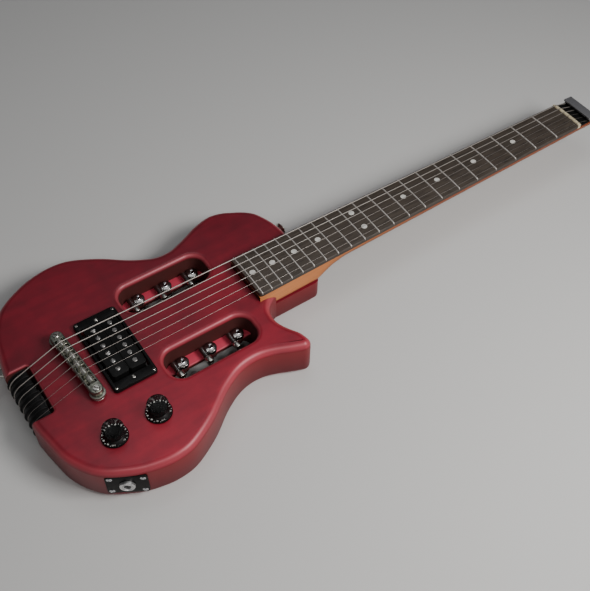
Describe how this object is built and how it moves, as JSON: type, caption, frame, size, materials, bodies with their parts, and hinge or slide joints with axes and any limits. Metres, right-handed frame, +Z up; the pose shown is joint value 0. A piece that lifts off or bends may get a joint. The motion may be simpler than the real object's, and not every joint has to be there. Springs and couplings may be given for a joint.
{
  "type": "travel guitar",
  "caption": "Headless short-body electric travel guitar lying on its back, with in-body tuners on ledges in long holes, a bolt-in neck, a slide-saddle bridge and one twin-coil pickup.",
  "frame": {"origin": "on the flat back of the body, on the string centreline, straight below the line of the bridge from which the scale is measured", "axes": "+X along the strings from the butt to the head, +Y to the bass side, +Z up from the back to the strings"},
  "size_m": [0.7299, 0.2637, 0.0605],
  "materials": {
    "body_wood": "satin transparent cherry red over dark, faintly mottled wood",
    "neck_wood": "satin amber maple",
    "fingerboard_wood": "dark oiled rosewood, with nickel frets and pearl dots",
    "nut_bone": "cream, polished",
    "black_metal": "satin black",
    "black_plastic": "black, half gloss",
    "aged_nickel": "worn nickel plate",
    "chrome": "polished chrome",
    "steel": "turned steel",
    "string_steel": "plain steel, and nickel-wound on the bass side"
  },
  "bodies": {
    "guitar": {"body": "body_wood", "neck": "neck_wood", "truss_rod": "steel", "fretboard": "fingerboard_wood", "nut": "nut_bone", "string_anchor": "black_metal", "string_turn_block": "black_plastic", "turn_axle": "steel", "bridge_bar": "aged_nickel", "thumbwheel_bass": "aged_nickel", "bridge_post_bass": "aged_nickel", "bridge_insert_bass": "aged_nickel", "thumbwheel_treble": "aged_nickel", "bridge_post_treble": "aged_nickel", "bridge_insert_treble": "aged_nickel", "pickup_ring": "black_plastic", "pickup_baseplate": "aged_nickel", "pickup_bobbin_bridge": "black_plastic", "pickup_bobbin_neck": "black_plastic", "volume_potentiometer": "aged_nickel", "tone_potentiometer": "aged_nickel", "control_cover": "black_plastic", "jack_plate": "black_metal", "jack_socket": "chrome", "strap_button_butt": "chrome", "strap_button_shoulder": "chrome", "tuner_housing_low_e": "chrome", "tuner_housing_a": "chrome", "tuner_housing_d": "chrome", "tuner_housing_high_e": "chrome", "tuner_housing_b": "chrome", "tuner_housing_g": "chrome", "string_low_e": "string_steel", "string_a": "string_steel", "string_d": "string_steel", "string_g": "string_steel", "string_b": "string_steel", "string_high_e": "string_steel"},
    "volume_control": {"volume_knob": "black_plastic", "volume_shaft": "steel"},
    "tone_control": {"tone_knob": "black_plastic", "tone_shaft": "steel"},
    "saddle_low_e": {"saddle_low_e": "aged_nickel"},
    "saddle_a": {"saddle_a": "aged_nickel"},
    "saddle_d": {"saddle_d": "aged_nickel"},
    "saddle_g": {"saddle_g": "aged_nickel"},
    "saddle_b": {"saddle_b": "aged_nickel"},
    "saddle_high_e": {"saddle_high_e": "aged_nickel"},
    "tuner_button_low_e": {"tuner_button_low_e": "chrome"},
    "tuner_post_low_e": {"tuner_post_low_e": "chrome"},
    "tuner_button_a": {"tuner_button_a": "chrome"},
    "tuner_post_a": {"tuner_post_a": "chrome"},
    "tuner_button_d": {"tuner_button_d": "chrome"},
    "tuner_post_d": {"tuner_post_d": "chrome"},
    "tuner_button_g": {"tuner_button_g": "chrome"},
    "tuner_post_g": {"tuner_post_g": "chrome"},
    "tuner_button_b": {"tuner_button_b": "chrome"},
    "tuner_post_b": {"tuner_post_b": "chrome"},
    "tuner_button_high_e": {"tuner_button_high_e": "chrome"},
    "tuner_post_high_e": {"tuner_post_high_e": "chrome"}
  },
  "joints": [
    {"name": "volume_turn", "type": "hinge", "parent": "guitar", "child": "volume_control", "pos_m": [-0.0053, -0.0836, 0.05], "axis": [0, 0, 1], "range_deg": [-150, 150]},
    {"name": "tone_turn", "type": "hinge", "parent": "guitar", "child": "tone_control", "pos_m": [0.0389, -0.0836, 0.05], "axis": [0, 0, 1], "range_deg": [-150, 150]},
    {"name": "saddle_low_e_slide", "type": "slide", "parent": "guitar", "child": "saddle_low_e", "axis": [0.9972, 0.0749, 0], "range_m": [-0.0013, 0.0027]},
    {"name": "saddle_a_slide", "type": "slide", "parent": "guitar", "child": "saddle_a", "axis": [0.9972, 0.0749, 0], "range_m": [-0.0019, 0.0021]},
    {"name": "saddle_d_slide", "type": "slide", "parent": "guitar", "child": "saddle_d", "axis": [0.9972, 0.0749, 0], "range_m": [-0.0021, 0.0015]},
    {"name": "saddle_g_slide", "type": "slide", "parent": "guitar", "child": "saddle_g", "axis": [0.9972, 0.0749, 0], "range_m": [-0.0014, 0.0026]},
    {"name": "saddle_b_slide", "type": "slide", "parent": "guitar", "child": "saddle_b", "axis": [0.9972, 0.0749, 0], "range_m": [-0.002, 0.002]},
    {"name": "saddle_high_e_slide", "type": "slide", "parent": "guitar", "child": "saddle_high_e", "axis": [0.9972, 0.0749, 0], "range_m": [-0.0021, 0.0014]},
    {"name": "tuner_button_low_e_turn", "type": "hinge", "parent": "guitar", "child": "tuner_button_low_e", "pos_m": [0.0818, 0.045, 0.0242], "axis": [0, 1, 0], "continuous": true},
    {"name": "tuner_post_low_e_turn", "type": "hinge", "parent": "guitar", "child": "tuner_post_low_e", "pos_m": [0.0903, 0.0571, 0.02], "axis": [0, 0, 1], "continuous": true},
    {"name": "tuner_button_a_turn", "type": "hinge", "parent": "guitar", "child": "tuner_button_a", "pos_m": [0.113, 0.045, 0.0242], "axis": [0, 1, 0], "continuous": true},
    {"name": "tuner_post_a_turn", "type": "hinge", "parent": "guitar", "child": "tuner_post_a", "pos_m": [0.1215, 0.0571, 0.02], "axis": [0, 0, 1], "continuous": true},
    {"name": "tuner_button_d_turn", "type": "hinge", "parent": "guitar", "child": "tuner_button_d", "pos_m": [0.1442, 0.045, 0.0242], "axis": [0, 1, 0], "continuous": true},
    {"name": "tuner_post_d_turn", "type": "hinge", "parent": "guitar", "child": "tuner_post_d", "pos_m": [0.1527, 0.0571, 0.02], "axis": [0, 0, 1], "continuous": true},
    {"name": "tuner_button_g_turn", "type": "hinge", "parent": "guitar", "child": "tuner_button_g", "pos_m": [0.143, -0.047, 0.0242], "axis": [0, 1, 0], "continuous": true},
    {"name": "tuner_post_g_turn", "type": "hinge", "parent": "guitar", "child": "tuner_post_g", "pos_m": [0.1515, -0.0349, 0.02], "axis": [0, 0, 1], "continuous": true},
    {"name": "tuner_button_b_turn", "type": "hinge", "parent": "guitar", "child": "tuner_button_b", "pos_m": [0.1118, -0.047, 0.0242], "axis": [0, 1, 0], "continuous": true},
    {"name": "tuner_post_b_turn", "type": "hinge", "parent": "guitar", "child": "tuner_post_b", "pos_m": [0.1203, -0.0349, 0.02], "axis": [0, 0, 1], "continuous": true},
    {"name": "tuner_button_high_e_turn", "type": "hinge", "parent": "guitar", "child": "tuner_button_high_e", "pos_m": [0.0806, -0.047, 0.0242], "axis": [0, 1, 0], "continuous": true},
    {"name": "tuner_post_high_e_turn", "type": "hinge", "parent": "guitar", "child": "tuner_post_high_e", "pos_m": [0.0891, -0.0349, 0.02], "axis": [0, 0, 1], "continuous": true}
  ],
  "couplings": [
    {"joint": "tuner_post_low_e_turn", "follows": "tuner_button_low_e_turn", "ratio": 0.066667},
    {"joint": "tuner_post_a_turn", "follows": "tuner_button_a_turn", "ratio": 0.066667},
    {"joint": "tuner_post_d_turn", "follows": "tuner_button_d_turn", "ratio": 0.066667},
    {"joint": "tuner_post_g_turn", "follows": "tuner_button_g_turn", "ratio": 0.066667},
    {"joint": "tuner_post_b_turn", "follows": "tuner_button_b_turn", "ratio": 0.066667},
    {"joint": "tuner_post_high_e_turn", "follows": "tuner_button_high_e_turn", "ratio": 0.066667}
  ]
}
